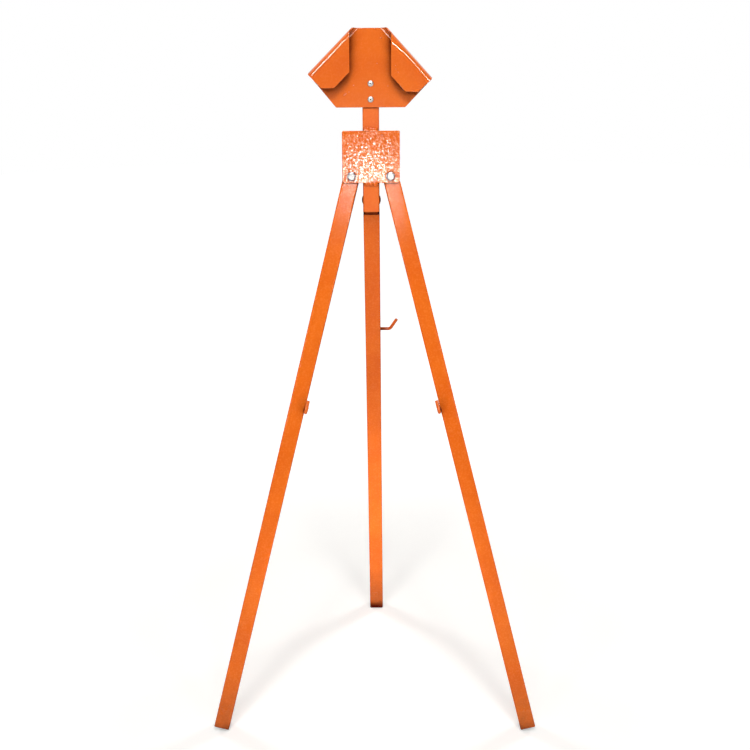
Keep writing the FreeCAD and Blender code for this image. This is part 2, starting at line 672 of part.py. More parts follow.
def build_nodes():
    """Every piece by its name, with the legs open and the neck still upright."""
    nodes = {
        "neck_tube": neck_tube(),
        "sign_head": sign_head(),
        "head_rivets": head_rivets(),
        "rivet_mandrels": rivet_mandrels(),
        "hub_front_plate": hub_plate(-1),
        "hub_rear_plate": hub_plate(1),
        "hub_front_welds": hub_welds(-1),
        "hub_rear_welds": hub_welds(1),
        "leg_pivot_bolts": leg_pivot_bolts(),
        "leg_pivot_sleeves": leg_pivot_sleeves(),
        "leg_bolt_washers": leg_bolt_washers(),
        "leg_lock_nuts": leg_lock_nuts(),
        "lock_nut_inserts": lock_nut_inserts(),
        "rear_hinge_pin": rear_hinge_pin(),
    }
    for name, side in (("left", LEFT), ("right", RIGHT)):
        pieces = {"leg_tube": front_leg_tube, "sign_hook": sign_hook, "hook_welds": sign_hook_welds}
        for piece, make in pieces.items():
            nodes[name + "_" + piece] = [open_front_leg(solid, side) for solid in make(side)]
    pieces = {
        "rear_leg_tube": rear_leg_tube,
        "rear_leg_tongue": rear_leg_tongue,
        "tongue_weld": tongue_weld,
        "ballast_hook": ballast_hook,
        "ballast_hook_welds": ballast_hook_welds,
    }
    for piece, make in pieces.items():
        nodes[piece] = [open_rear_leg(solid) for solid in make()]
    return nodes


def standing_placement(nodes):
    """Lean the frame back onto its feet, with zero on the ground under the middle of the whole."""
    lean = FreeCAD.Placement(ZERO, FreeCAD.Rotation(X_AXIS, -math.degrees(lean_angle())))
    whole = Part.makeCompound([solid for solids in nodes.values() for solid in solids])
    whole.Placement = lean
    box = whole.optimalBoundingBox(False)
    middle = V(-(box.XMin + box.XMax) / 2, -(box.YMin + box.YMax) / 2, front_drop(lean_angle()))
    return FreeCAD.Placement(middle, lean.Rotation)


def main():
    os.makedirs("parts", exist_ok=True)
    nodes = build_nodes()
    standing = standing_placement(nodes)
    for name, solids in nodes.items():
        shape = Part.makeCompound(solids) if len(solids) > 1 else solids[0]
        shape.transformShape(standing.toMatrix(), True)
        shape.exportStep("parts/" + name + ".step")
    print("pieces", len(nodes), "solids", sum(len(solids) for solids in nodes.values()))
    print("lean %.3f degrees" % math.degrees(lean_angle()), "travel %.3f %.3f" % fold_angles())
    print("frame zero stands at", [round(value, 3) for value in standing.Base])


main()
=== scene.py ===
"""Looks of the roadworks sign frame: powder coated steel tubes on a white studio floor.

Shapes made here are in millimetres in the frame of the neck, as in the CAD source: X across, -Y
to the front, Z up the neck, zero midway between the front leg pivots. They turn into metres only
where a mesh is made. The camera, the lamps, the floor and the lengths in materials are in metres.
"""

import json
import math
import random

import bmesh
import bpy
from mathutils import Matrix, Vector


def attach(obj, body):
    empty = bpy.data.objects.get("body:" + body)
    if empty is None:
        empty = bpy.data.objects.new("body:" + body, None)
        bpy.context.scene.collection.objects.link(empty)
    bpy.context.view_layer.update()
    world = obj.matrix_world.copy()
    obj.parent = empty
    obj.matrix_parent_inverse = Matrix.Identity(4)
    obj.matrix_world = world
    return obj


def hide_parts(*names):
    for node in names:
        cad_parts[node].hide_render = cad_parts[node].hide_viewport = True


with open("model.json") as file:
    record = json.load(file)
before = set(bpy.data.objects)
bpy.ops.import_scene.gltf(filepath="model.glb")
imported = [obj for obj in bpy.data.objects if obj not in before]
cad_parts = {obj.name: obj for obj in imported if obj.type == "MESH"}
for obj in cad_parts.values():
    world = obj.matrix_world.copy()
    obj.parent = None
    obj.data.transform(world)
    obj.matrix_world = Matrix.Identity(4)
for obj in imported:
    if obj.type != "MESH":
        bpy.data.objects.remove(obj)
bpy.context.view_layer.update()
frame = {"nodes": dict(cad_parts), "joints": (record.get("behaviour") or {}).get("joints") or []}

MM = 0.001

# The camera of the photograph, fitted to the tube edges, bolts and feet
CAMERA_AT = (0.03755, -2.75479, 1.82003)
CAMERA_DOWN_DEG = 19.432
CAMERA_YAW_DEG = -0.694
CAMERA_ROLL_DEG = -0.436
CAMERA_SEES_TO = 200
SENSOR = 36.0
LENS = 54.891

# The front lamp mirrors in the hub plate and the two high lamps in the folds of the head. The top
# lamp casts the shadows under the flanges, the low lamps light the legs, one lamp reaches the
# rear leg between them, and the back lamps light the sides and the back.
WARM_LIGHT = (1.0, 0.96, 0.88)
HIGH_LIGHT = (1.0, 0.98, 0.94)
TOP_LIGHT = (1.0, 0.985, 0.96)
PALE_LIGHT = (1.0, 0.98, 0.95)
LOW_LAMP = {
    "target": (0.0, 0.1, 0.60),
    "size": (0.6, 0.6),
    "spread_deg": 80,
    "watts": 3.9,
    "colour": PALE_LIGHT,
}
BACK_LAMP = {
    "target": (0.0, 0.1, 0.9),
    "size": (1.0, 1.0),
    "spread_deg": 100,
    "watts": 17.0,
    "colour": PALE_LIGHT,
}
LAMPS = {
    "front_lamp": {
        "at": (-0.05, -3.4, 1.77),
        "target": (0.0, -0.13, 1.36),
        "size": (0.14, 0.14),
        "watts": 7.0,
        "colour": WARM_LIGHT,
    },
    "high_left_lamp": {
        "at": (-0.85, -2.76, 2.90),
        "target": (-0.1, -0.13, 1.60),
        "size": (0.60, 0.18),
        "roll_deg": 45,
        "watts": 14.4,
        "colour": HIGH_LIGHT,
    },
    "high_right_lamp": {
        "at": (0.80, -2.80, 2.86),
        "target": (0.1, -0.13, 1.60),
        "size": (0.60, 0.18),
        "roll_deg": -47,
        "watts": 13.8,
        "colour": HIGH_LIGHT,
    },
    "top_lamp": {
        "at": (0.0, -1.65, 3.85),
        "target": (0.0, -0.1, 1.3),
        "size": (1.1, 0.5),
        "watts": 48.0,
        "colour": TOP_LIGHT,
    },
    "low_left_lamp": {"at": (-1.6, -3.0, 1.0), **LOW_LAMP},
    "low_right_lamp": {"at": (1.6, -3.0, 1.0), **LOW_LAMP},
    "rear_leg_lamp": {
        "at": (0.0, -1.6, 0.30),
        "target": (0.0, 0.3, 0.36),
        "size": (0.12, 0.2),
        "spread_deg": 28,
        "watts": 0.48,
        "colour": PALE_LIGHT,
        "mirrors": False,
    },
    "back_left_lamp": {"at": (-2.6, 2.2, 2.2), **BACK_LAMP},
    "back_right_lamp": {"at": (2.6, 2.2, 2.2), **BACK_LAMP},
}

# The room's faint light, and the change in reflections from the room in front to the backdrop
ROOM_LIGHT = (1.0, 0.985, 0.96, 1)
AMBIENT = 0.08
ROOM_BEHIND_CAMERA = 0.05
BACKDROP_SPAN = (-0.35, 0.25)

# Floor, and the glow that the camera sees on it, which grows away from the object
FLOOR_RADIUS = 9.0
FLOOR_STEPS = 96
FLOOR_COLOUR = (0.8, 0.8, 0.79, 1)
GLOW_SPAN = (0.7, 3.0)
GLOW = (0.38, 1.0)

# Paint: clouds of two close tones, a light and a dark grain, worn feet, and painted shade: a deep
# red laid into crevices in place of their shadow
CLOUD_DEEP = (0.800, 0.135, 0.0095, 1)
CLOUD_PALE = (0.860, 0.165, 0.0120, 1)
GRAIN_LIGHT = (1.000, 0.320, 0.095, 1)
GRAIN_DARK = (0.660, 0.100, 0.007, 1)
GRIME = (0.300, 0.085, 0.022, 1)
CHIP = (0.085, 0.062, 0.050, 1)
# Painted shade: the deep red that stands in for the shadow in crevices and under the flanges
PAINTED_SHADE = (0.085, 0.003, 0.0006, 1)
GRAIN_LIGHT_SHARE = 0.08
GRAIN_DARK_SHARE = 0.04
GRAIN_GAIN = 0.60
GRIME_SPAN = (0.0, 0.16)
GRIME_ROUGHNESS = 0.25
CHIP_HEIGHT_SPAN = (0.001, 0.014)
# Painted shade in crevices: how far it reaches on the coat and on the beads, how it is sampled,
# the span of its darkening, and how it dulls the gloss
PAINTED_SHADE_REACH = 0.035
BEAD_PAINTED_SHADE_REACH = 0.009
PAINTED_SHADE_SAMPLES = 12
PAINTED_SHADE_SPAN = (0.50, 0.97)
PAINTED_SHADE_DULL_SPAN = (0.0, 0.8)
PAINTED_SHADE_GLOSS = 0.1
COAT_ROUGHNESS = 0.10
PAINT_IOR = 1.5
PEEL_DEEP = 0.00022
DUST_HIGH = 0.00035
DUST_CELLS_PER_METRE = 34.0
DUST_SPAN = (0.0, 0.06)
DUST_RARE = 0.82

# Noise patterns: cells per metre, detail and roughness
CLOUD_NOISE = (9.0, 4.0, 0.5)
GRAIN_NOISE = (230.0, 1.0, 0.5)
SCRATCH_NOISE = (60.0, 6.0, 0.7)
CHIP_NOISE = (140.0, 4.0, 0.6)
SHEEN_NOISE = (120.0, 3.0, 0.5)
PEEL_NOISE = (200.0, 1.0, 0.5)
METAL_CLOUD_NOISE = (160.0, 5.0, 0.6)
METAL_MARK_NOISE = (900.0, 3.0, 0.5)
NYLON_NOISE = (300.0, 3.0, 0.5)

# The values of a pattern between which its effect goes from none to full
CLOUD_SPAN = (0.35, 0.65)
GRAIN_LIGHT_SPAN = (0.50, 0.66)
GRAIN_DARK_SPAN = (0.50, 0.34)
GRAIN_GLOSS_SPAN = (0.36, 0.64)
CHIP_SPAN = (0.42, 0.50)
SHEEN_SPAN = (0.3, 0.7)
METAL_CLOUD_SPAN = (0.35, 0.7)
RISE = (0.0, 1.0)
FALL = (1.0, 0.0)

# Where a mix node keeps its two colours and their mix, among sockets that share their names
MIX_COLOURS = (6, 7)
MIXED_COLOUR = 2

# Metals and nylon
METAL_MARK_DEEP = 0.00003
NYLON_GREY = (0.70, 0.72, 0.74, 1)
NYLON_PALE = (0.80, 0.81, 0.82, 1)
NYLON_BUMP = 0.00004
NYLON_SUBSURFACE = 0.1
NYLON_SUBSURFACE_DEEP = 0.001

# Sizes of the CAD model that pieces made here need again
TUBE = 38.1
HALF = TUBE / 2
PIVOT_X = 45.0
SPLAY_DEG = 14.0
REAR_OPEN_DEG = 25.6
REAR_PIVOT_DROP = 54.0
HEAD_SHEET = 3.0
FLANGE_OUT = 25.0
PLATE_TOP = 103.0
PLATE_BOTTOM = 15.4
PLATE_OUTER = 22.55
BOLT = 10.0
HEX_FLATS = 17.0
HEX_HIGH = 6.4
HEX_TURNS_DEG = (8.0, 21.0)
WASHER_THICK = 2.0
NUT_HEX_HIGH = 7.4
NUT_COLLAR_HIGH = 3.0
COLLAR_RADIUS = 7.5
INSERT_RADIUS = 6.4
INSERT_HIGH = 2.0
ROD = 8.0
SIGN_HOOK_AT = 566.0
SIGN_HOOK_ROOT = 33.0
BALLAST_HOOK_AT = 379.0
BALLAST_HOOK_ROOT = 31.0

# Weld beads: spacing, height and unevenness of the ripples, and the rounded ends
BEAD_PITCH = 4.4
BEAD_RIPPLE = 1.0
BEAD_EDGE_RIPPLE = 0.35
BEAD_SHARPNESS = 0.55
BEAD_LEAN = 1.6
BEAD_WANDER = 0.8
BEAD_SWELL = 0.09
BEAD_END_LONG = 2.2
BEAD_END_SIZE = 0.1
BEAD_SPARE_RIPPLES = 3
BEAD_ROWS_PER_MM = 4
BEAD_ACROSS = 14

# Beads between the neck and the hub plates
HUB_BEAD_LONG = 32.0
HUB_BEAD_HIGH = 8.5
HUB_BEAD_SINK = 0.3
HUB_BEAD_ON_PLATE = 1.2
HUB_BEAD_CROWN = 1.0

# Beads between a leg and a hook rod
ROD_BEAD_LONG = 27.0
ROD_BEAD_ROOT = 1.2
ROD_BEAD_REACH = 5.6
ROD_BEAD_INSIDE = 1.0
ROD_BEAD_OVER = 0.3
ROD_BEAD_CROWN = 0.8

# Fasteners
CHAMFER_DEG = 30
HEAD_CHAMFER = 1.5
HEAD_RIM = 0.7
HEAD_DISH_SLOPE = 0.4
HEAD_DISH_DEEP = 0.12
HEAD_DISH_MIDDLE = 1.0
WASHER_FACE_IN = 0.7
WASHER_FACE_HIGH = 0.45
UNDERSIDE_AT = 0.5
UNDERSIDE_OUT = 0.5
UNDERSIDE_FALL = 0.35
SHANK_CHAMFER = 0.2
THREAD_PITCH = 1.5
THREAD_DEEP = 0.62
THREAD_FLANK = 0.44
THREAD_SLACK = 0.02
THREAD_BEFORE_PLATE_FACE = 4
THREAD_PAST_NUT = 3.0
THREAD_ROWS = 8
THREAD_RUN_IN = 2
THREAD_RUN_OUT = 0.8
THREAD_END_DEPTH = 0.25
THREAD_END_CHAMFER = 1.0
NUT_CHAMFER = 0.4
NUT_BORE_GAP = 0.05
NUT_LEAD_IN = 0.35

# Profile of the nut's collar: where it leaves the hexagon's top, then its foot as way out from its
# side and height over the hexagon, and its rim as way in from its side and depth under its top
COLLAR_FOOT_IN = 0.35
COLLAR_FOOT_UP = 0.05
COLLAR_FOOT = ((0.25, 0.3), (0.0, 0.7))
COLLAR_RIM = ((0.0, 0.9), (0.25, 0.3), (0.75, 0.0))
COLLAR_MOUTH_DROP = 0.05

# Paint nibs and runs: the face they lie on, then x, z, length, width, height, turn in degrees
HEAD_FACE = HALF + HEAD_SHEET
FLANGE_FACE = HALF + FLANGE_OUT
NIBS = (
    (HEAD_FACE, -58.7, 183.8, 10.0, 4.0, 1.0, 35),
    (HEAD_FACE, -49.3, 189.5, 3.4, 2.2, 0.4, 20),
    (HEAD_FACE, -38.5, 204.0, 4.0, 3.2, 0.6, 0),
    (HEAD_FACE, 39.3, 202.2, 3.2, 2.6, 0.4, 0),
    (HEAD_FACE, 23.9, 307.7, 5.0, 3.4, 0.7, 10),
    (HEAD_FACE, 15.0, 252.3, 3.2, 2.6, 0.5, 0),
    (PLATE_OUTER, 26.1, 92.5, 7.5, 4.0, 0.8, -12),
    (FLANGE_FACE, 57.9, 237.9, 2.6, 2.2, 0.4, 0),
    (FLANGE_FACE, 62.3, 231.4, 2.4, 2.0, 0.35, 40),
    (FLANGE_FACE, 56.8, 245.5, 2.4, 1.8, 0.35, 0),
)

# A nib's rings, as share of its width and of its height, and how unevenly its outline swells
NIB_RINGS = ((1.0, -0.15), (0.94, 0.2), (0.78, 0.58), (0.5, 0.88), (0.18, 1.0))
NIB_STEPS = 32
NIB_LOBES = 8
NIB_UNEVEN = 0.12

# How finely shapes are cut, which edges shade sharp, and how the CAD pieces' edges are rounded
ROUND_STEPS = 72
SHARP_BEAD_DEG = 50
SHARP_METAL_DEG = 24
SHARP_NIB_DEG = 60
FLAT_DEG = 0.6
EDGE_DEG = 32
EDGE_SEGMENTS = 3
SHADE_WEIGHT = 80
MERGE_WITHIN = 0.00001

# Start of the random draws. Every bead draws with a seed of its own, counted from this one.
SEED = 20


def neck_frame():
    """Matrix from the neck's frame in millimetres to the standing frame in metres."""
    joints = {joint["name"]: joint for joint in frame["joints"]}
    left, right = joints["left_leg_fold"], joints["right_leg_fold"]
    zero = (Vector(left["pos_m"]) + Vector(right["pos_m"])) / 2
    across = Vector((1, 0, 0))
    back = Vector(right["axis"]).normalized()
    up = across.cross(back)
    turn = Matrix((across, back, up)).transposed().to_4x4()
    return Matrix.Translation(zero) @ turn @ Matrix.Scale(MM, 4)


def turned_about(point, angle_deg, axis):
    """Rotation about an axis through a point."""
    away = Matrix.Translation(Vector(point))
    return away @ Matrix.Rotation(math.radians(angle_deg), 4, axis) @ away.inverted()


NECK = neck_frame()
LEG = {
    "left": NECK @ turned_about((-PIVOT_X, 0, 0), SPLAY_DEG, "Y"),
    "right": NECK @ turned_about((PIVOT_X, 0, 0), -SPLAY_DEG, "Y"),
}
REAR = NECK @ turned_about((0, 0, -REAR_PIVOT_DROP), REAR_OPEN_DEG, "X")


# Shader nodes

def new_material(name):
    material = bpy.data.materials.new(name)
    material.use_nodes = True
    nodes = material.node_tree.nodes
    return material, nodes, material.node_tree.links, nodes["Principled BSDF"]


def add_noise(nodes, links, place, pattern):
    scale, detail, roughness = pattern
    noise = nodes.new("ShaderNodeTexNoise")
    noise.inputs["Scale"].default_value = scale
    noise.inputs["Detail"].default_value = detail
    noise.inputs["Roughness"].default_value = roughness
    links.new(place.outputs["Object"], noise.inputs["Vector"])
    return noise.outputs["Fac"]


def add_range(nodes, links, value, span, result):
    """Clamped straight-line remap of a value from its span to the span of the result."""
    remap = nodes.new("ShaderNodeMapRange")
    remap.inputs["From Min"].default_value = span[0]
    remap.inputs["From Max"].default_value = span[1]
    remap.inputs["To Min"].default_value = result[0]
    remap.inputs["To Max"].default_value = result[1]
    links.new(value, remap.inputs["Value"])
    return remap.outputs["Result"]


def add_math(nodes, links, operation, first, second):
    """Sum, product or the like of two values; each may be a number or a socket."""
    node = nodes.new("ShaderNodeMath")
    node.operation = operation
    for socket, value in zip(node.inputs, (first, second)):
        if isinstance(value, (int, float)):
            socket.default_value = value
        else:
            links.new(value, socket)
    return node.outputs[0]


def add_mix(nodes, links, share, first, second):
    """Mix of two colours; each may be a colour or a socket."""
    mix = nodes.new("ShaderNodeMix")
    mix.data_type = "RGBA"
    links.new(share, mix.inputs["Factor"])
    for number, value in zip(MIX_COLOURS, (first, second)):
        if isinstance(value, tuple):
            mix.inputs[number].default_value = value
        else:
            links.new(value, mix.inputs[number])
    return mix.outputs[MIXED_COLOUR]


def add_bump(nodes, links, height, distance, below=None):
    bump = nodes.new("ShaderNodeBump")
    bump.inputs["Distance"].default_value = distance
    bump.inputs["Strength"].default_value = 1.0
    links.new(height, bump.inputs["Height"])
    if below is not None:
        links.new(below, bump.inputs["Normal"])
    return bump.outputs["Normal"]


def mix_shaders(nodes, links, share, first, second):
    mix = nodes.new("ShaderNodeMixShader")
    for socket, value in zip(mix.inputs, (share, first, second)):
        links.new(value, socket)
    return mix.outputs[0]


# Camera, lights, floor and background

def add_camera():
    data = bpy.data.cameras.new("photo_camera")
    data.sensor_width = SENSOR
    data.lens = LENS
    data.clip_end = CAMERA_SEES_TO
    camera = bpy.data.objects.new("photo_camera", data)
    bpy.context.collection.objects.link(camera)
    yaw = Matrix.Rotation(math.radians(-CAMERA_YAW_DEG), 4, "Z")
    pitch = Matrix.Rotation(math.radians(90 - CAMERA_DOWN_DEG), 4, "X")
    roll = Matrix.Rotation(math.radians(CAMERA_ROLL_DEG), 4, "Z")
    camera.matrix_world = Matrix.Translation(Vector(CAMERA_AT)) @ yaw @ pitch @ roll
    bpy.context.scene.camera = camera


def add_lamp(name, at, target, size, watts, colour, roll_deg=0, spread_deg=180, mirrors=True):
    """Rectangular studio lamp that faces a target, rolled about its own line of sight."""
    data = bpy.data.lights.new(name, "AREA")
    data.shape = "RECTANGLE"
    data.size, data.size_y = size
    data.spread = math.radians(spread_deg)
    data.energy = watts
    data.color = colour
    lamp = bpy.data.objects.new(name, data)
    bpy.context.collection.objects.link(lamp)
    aim = (Vector(target) - Vector(at)).to_track_quat("-Z", "Y")
    roll = Matrix.Rotation(math.radians(roll_deg), 4, "Z")
    lamp.matrix_world = Matrix.Translation(Vector(at)) @ aim.to_matrix().to_4x4() @ roll
    lamp.visible_camera = False
    lamp.visible_glossy = mirrors


def add_world():
    """White backdrop for the camera, and a dim room that lights the object.

    Reflections see the pale backdrop behind the object and a darker room in front of it.
    """
    world = bpy.data.worlds.new("studio")
    bpy.context.scene.world = world
    world.use_nodes = True
    nodes, links = world.node_tree.nodes, world.node_tree.links
    nodes.clear()
    out = nodes.new("ShaderNodeOutputWorld")
    shown = nodes.new("ShaderNodeBackground")
    lit = nodes.new("ShaderNodeBackground")
    mirrored = nodes.new("ShaderNodeBackground")
    shown.inputs["Color"].default_value = (1, 1, 1, 1)
    shown.inputs["Strength"].default_value = 1.0
    lit.inputs["Color"].default_value = ROOM_LIGHT
    lit.inputs["Strength"].default_value = AMBIENT
    place = nodes.new("ShaderNodeTexCoord")
    split = nodes.new("ShaderNodeSeparateXYZ")
    links.new(place.outputs["Generated"], split.inputs[0])
    depth = split.outputs["Y"]
    fade = add_range(nodes, links, depth, BACKDROP_SPAN, (ROOM_BEHIND_CAMERA, 1.0))
    links.new(fade, mirrored.inputs["Strength"])
    path = nodes.new("ShaderNodeLightPath")
    through = path.outputs["Is Transmission Ray"]
    see_mirror = add_math(nodes, links, "MAXIMUM", path.outputs["Is Glossy Ray"], through)
    unseen = mix_shaders(nodes, links, see_mirror, lit.outputs[0], mirrored.outputs[0])
    seen = mix_shaders(nodes, links, path.outputs["Is Camera Ray"], unseen, shown.outputs[0])
    links.new(seen, out.inputs[0])


def add_floor():
    """Pale round floor: the camera sees it as white, with the shadow kept."""
    turns = [2 * math.pi * i / FLOOR_STEPS for i in range(FLOOR_STEPS)]
    rim = [(FLOOR_RADIUS * math.cos(a), FLOOR_RADIUS * math.sin(a), 0) for a in turns]
    mesh = bpy.data.meshes.new("studio_floor")
    mesh.from_pydata(rim, [], [range(FLOOR_STEPS)])
    floor = bpy.data.objects.new("studio_floor", mesh)
    bpy.context.collection.objects.link(floor)
    material = bpy.data.materials.new("floor_white")
    material.use_nodes = True
    nodes, links = material.node_tree.nodes, material.node_tree.links
    nodes.clear()
    out = nodes.new("ShaderNodeOutputMaterial")
    pale = nodes.new("ShaderNodeBsdfDiffuse")
    pale.inputs["Color"].default_value = FLOOR_COLOUR
    glow = nodes.new("ShaderNodeEmission")
    place = nodes.new("ShaderNodeTexCoord")
    length = nodes.new("ShaderNodeVectorMath")
    length.operation = "LENGTH"
    links.new(place.outputs["Object"], length.inputs[0])
    strength = add_range(nodes, links, length.outputs["Value"], GLOW_SPAN, GLOW)
    links.new(strength, glow.inputs["Strength"])
    both = nodes.new("ShaderNodeAddShader")
    links.new(pale.outputs[0], both.inputs[0])
    links.new(glow.outputs[0], both.inputs[1])
    path = nodes.new("ShaderNodeLightPath")
    seen = path.outputs["Is Camera Ray"]
    links.new(mix_shaders(nodes, links, seen, pale.outputs[0], both.outputs[0]), out.inputs[0])
    mesh.materials.append(material)


# Materials

def dust_nibs(nodes, links, place):
    """Height of the dust under the coat: small cones in a few cells of a cell pattern."""
    cells = nodes.new("ShaderNodeTexVoronoi")
    cells.inputs["Scale"].default_value = DUST_CELLS_PER_METRE
    links.new(place.outputs["Object"], cells.inputs["Vector"])
    nib = add_range(nodes, links, cells.outputs["Distance"], DUST_SPAN, FALL)
    pick = nodes.new("ShaderNodeSeparateColor")
    links.new(cells.outputs["Color"], pick.inputs[0])
    chosen = add_math(nodes, links, "GREATER_THAN", pick.outputs[0], DUST_RARE)
    return add_math(nodes, links, "MULTIPLY", nib, chosen)


def worn_foot(nodes, links, place, colour, wear):
    """Grime and chips near the floor: the new colour, and the share of grime."""
    split = nodes.new("ShaderNodeSeparateXYZ")
    links.new(place.outputs["Object"], split.inputs[0])
    height = split.outputs["Z"]
    low = add_range(nodes, links, height, GRIME_SPAN, (wear, 0.0))
    scratch = add_noise(nodes, links, place, SCRATCH_NOISE)
    dirt = add_math(nodes, links, "MULTIPLY", low, scratch)
    colour = add_mix(nodes, links, dirt, colour, GRIME)
    edge = add_range(nodes, links, height, CHIP_HEIGHT_SPAN, (wear, 0.0))
    chips = add_noise(nodes, links, place, CHIP_NOISE)
    chips = add_range(nodes, links, chips, CHIP_SPAN, RISE)
    chips = add_math(nodes, links, "MULTIPLY", edge, chips)
    return add_mix(nodes, links, chips, colour, CHIP), low


def orange_paint(name, peel, rough, shine, wear=0.0, grain=0.0, coat=0.0, reach=PAINTED_SHADE_REACH):
    """Powder coat with faint clouds, grain, orange peel, dust nibs and painted shade in crevices.

    peel scales the height of the orange peel, rough is the range of the roughness, and shine is
    the mean strength of the gloss. wear brings grime and chips to the foot, grain spreads the
    colour and the gloss, coat adds a clear layer, and reach is how far the painted shade reaches
    from a crevice.
    """
    material, nodes, links, shader = new_material(name)
    place = nodes.new("ShaderNodeTexCoord")
    cloud = add_noise(nodes, links, place, CLOUD_NOISE)
    mottle = add_noise(nodes, links, place, GRAIN_NOISE)
    share = add_range(nodes, links, cloud, CLOUD_SPAN, RISE)
    colour = add_mix(nodes, links, share, CLOUD_DEEP, CLOUD_PALE)
    most = GRAIN_LIGHT_SHARE + GRAIN_GAIN * grain
    share = add_range(nodes, links, mottle, GRAIN_LIGHT_SPAN, (0.0, most))
    colour = add_mix(nodes, links, share, colour, GRAIN_LIGHT)
    most = GRAIN_DARK_SHARE + GRAIN_GAIN * grain
    share = add_range(nodes, links, mottle, GRAIN_DARK_SPAN, (0.0, most))
    colour = add_mix(nodes, links, share, colour, GRAIN_DARK)
    colour, low = worn_foot(nodes, links, place, colour, wear)

    # Painted shade: where an occlusion test finds close surfaces, in crevices, folds and under the
    # flanges, the coat is darkened to a deep red in place of the shadow that falls there
    occlusion = nodes.new("ShaderNodeAmbientOcclusion")
    occlusion.samples = PAINTED_SHADE_SAMPLES
    occlusion.inputs["Distance"].default_value = reach
    dark = add_range(nodes, links, occlusion.outputs["AO"], PAINTED_SHADE_SPAN, FALL)
    colour = add_mix(nodes, links, dark, colour, PAINTED_SHADE)
    links.new(colour, shader.inputs["Base Color"])

    sheen = add_noise(nodes, links, place, SHEEN_NOISE)
    dull = add_range(nodes, links, sheen, SHEEN_SPAN, rough)
    dusty = add_math(nodes, links, "MULTIPLY", low, GRIME_ROUGHNESS)
    links.new(add_math(nodes, links, "ADD", dull, dusty), shader.inputs["Roughness"])
    shader.inputs["IOR"].default_value = PAINT_IOR

    # The gloss follows the grain, and it is weakened where the shade is painted in the crevices
    shines = (shine * (1 - grain), shine * (1 + grain))
    gloss = add_range(nodes, links, mottle, GRAIN_GLOSS_SPAN, shines)
    bare = add_range(nodes, links, dark, PAINTED_SHADE_DULL_SPAN, (1.0, PAINTED_SHADE_GLOSS))
    gloss = add_math(nodes, links, "MULTIPLY", gloss, bare)
    links.new(gloss, shader.inputs["Specular IOR Level"])
    links.new(add_math(nodes, links, "MULTIPLY", bare, coat), shader.inputs["Coat Weight"])
    shader.inputs["Coat Roughness"].default_value = COAT_ROUGHNESS

    wave = add_noise(nodes, links, place, PEEL_NOISE)
    normal = add_bump(nodes, links, wave, PEEL_DEEP * peel)
    normal = add_bump(nodes, links, dust_nibs(nodes, links, place), DUST_HIGH, below=normal)
    links.new(normal, shader.inputs["Normal"])
    return material


def plated_metal(name, colour, dark, rough):
    """Plated or bare metal: cloudy tone, fine handling marks, uneven gloss."""
    material, nodes, links, shader = new_material(name)
    place = nodes.new("ShaderNodeTexCoord")
    cloud = add_noise(nodes, links, place, METAL_CLOUD_NOISE)
    marks = add_noise(nodes, links, place, METAL_MARK_NOISE)
    share = add_range(nodes, links, cloud, METAL_CLOUD_SPAN, RISE)
    links.new(add_mix(nodes, links, share, colour, dark), shader.inputs["Base Color"])
    links.new(add_range(nodes, links, cloud, SHEEN_SPAN, rough), shader.inputs["Roughness"])
    shader.inputs["Metallic"].default_value = 1.0
    links.new(add_bump(nodes, links, marks, METAL_MARK_DEEP), shader.inputs["Normal"])
    return material


def nylon(name, rough):
    """Milky plastic of the lock nuts' inserts."""
    material, nodes, links, shader = new_material(name)
    place = nodes.new("ShaderNodeTexCoord")
    cloud = add_noise(nodes, links, place, NYLON_NOISE)
    share = add_range(nodes, links, cloud, SHEEN_SPAN, RISE)
    links.new(add_mix(nodes, links, share, NYLON_GREY, NYLON_PALE), shader.inputs["Base Color"])
    links.new(add_range(nodes, links, cloud, SHEEN_SPAN, rough), shader.inputs["Roughness"])
    shader.inputs["Subsurface Weight"].default_value = NYLON_SUBSURFACE
    shader.inputs["Subsurface Scale"].default_value = NYLON_SUBSURFACE_DEEP
    links.new(add_bump(nodes, links, cloud, NYLON_BUMP), shader.inputs["Normal"])
    return material


# Meshes

def fix_normals(mesh):
    work = bmesh.new()
    work.from_mesh(mesh)
    bmesh.ops.recalc_face_normals(work, faces=work.faces)
    work.to_mesh(mesh)
    work.free()


def mesh_piece(name, parts, to_world, body, material, sharp_deg):
    """One object of several closed lofts. Each loft is a list of rings with equal point counts."""
    points = []
    faces = []
    for rings in parts:
        base = len(points)
        count = len(rings[0])
        for ring in rings:
            points.extend(to_world @ Vector(point) for point in ring)
        for row in range(len(rings) - 1):
            for i in range(count):
                ahead = (i + 1) % count
                low = base + row * count
                faces.append((low + i, low + ahead, low + count + ahead, low + count + i))
        faces.append([base + i for i in reversed(range(count))])
        faces.append([base + (len(rings) - 1) * count + i for i in range(count)])
    mesh = bpy.data.meshes.new(name)
    mesh.from_pydata(points, [], faces)
    mesh.validate()
    fix_normals(mesh)
    mesh.polygons.foreach_set("use_smooth", [True] * len(mesh.polygons))
    mesh.set_sharp_from_angle(angle=math.radians(sharp_deg))
    mesh.materials.append(material)
    piece = bpy.data.objects.new(name, mesh)
    bpy.context.collection.objects.link(piece)
    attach(piece, body)
    return piece


